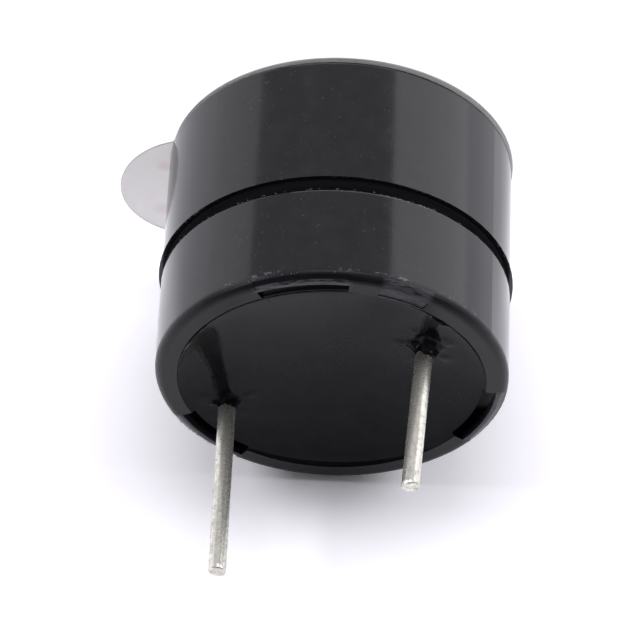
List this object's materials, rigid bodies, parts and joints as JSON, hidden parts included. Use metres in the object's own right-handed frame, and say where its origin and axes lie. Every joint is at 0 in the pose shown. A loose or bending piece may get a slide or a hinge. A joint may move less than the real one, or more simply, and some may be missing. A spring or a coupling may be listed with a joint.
{
  "type": "piezo buzzer",
  "caption": "Small black round self-drive piezo buzzer for a circuit board, with a long and a short pin and a clear seal with a pull tab over its sound port.",
  "frame": {"origin": "on the case's axis, at the face of the bottom rim", "axes": "+Z along the case's axis towards the sound port, pins pointing along -Z; +X from the longer positive pin to the shorter negative pin"},
  "size_m": [0.0142, 0.0122, 0.0158],
  "materials": {
    "case_plastic": "satin",
    "resin": "gloss",
    "tinned_steel": "satin",
    "seal_film": "clear, faintly milky",
    "board_laminate": "matte",
    "brass": "satin",
    "piezo_ceramic": "matte",
    "silver_layer": "satin",
    "silicone": "matte",
    "ferrite": "matte",
    "enamelled_copper": "gloss",
    "chip_plastic": "matte",
    "solder": "bright",
    "wire_red": "satin",
    "wire_blue": "satin",
    "wire_black": "satin"
  },
  "bodies": {
    "root": {"upper_case": "case_plastic", "lower_case": "case_plastic", "potting": "resin", "positive_pin": "tinned_steel", "negative_pin": "tinned_steel", "wash_seal": "seal_film", "circuit_board": "board_laminate", "brass_disc": "brass", "piezo_ceramic": "piezo_ceramic", "main_electrode": "silver_layer", "feedback_electrode": "silver_layer", "mounting_glue": "silicone", "choke_core": "ferrite", "choke_winding": "enamelled_copper", "transistor": "chip_plastic", "base_resistor": "chip_plastic", "supply_resistor": "chip_plastic", "pin_solder": "solder", "board_solder": "solder", "element_solder": "solder", "main_wire": "wire_red", "feedback_wire": "wire_blue", "plate_wire": "wire_black"}
  },
  "joints": []
}
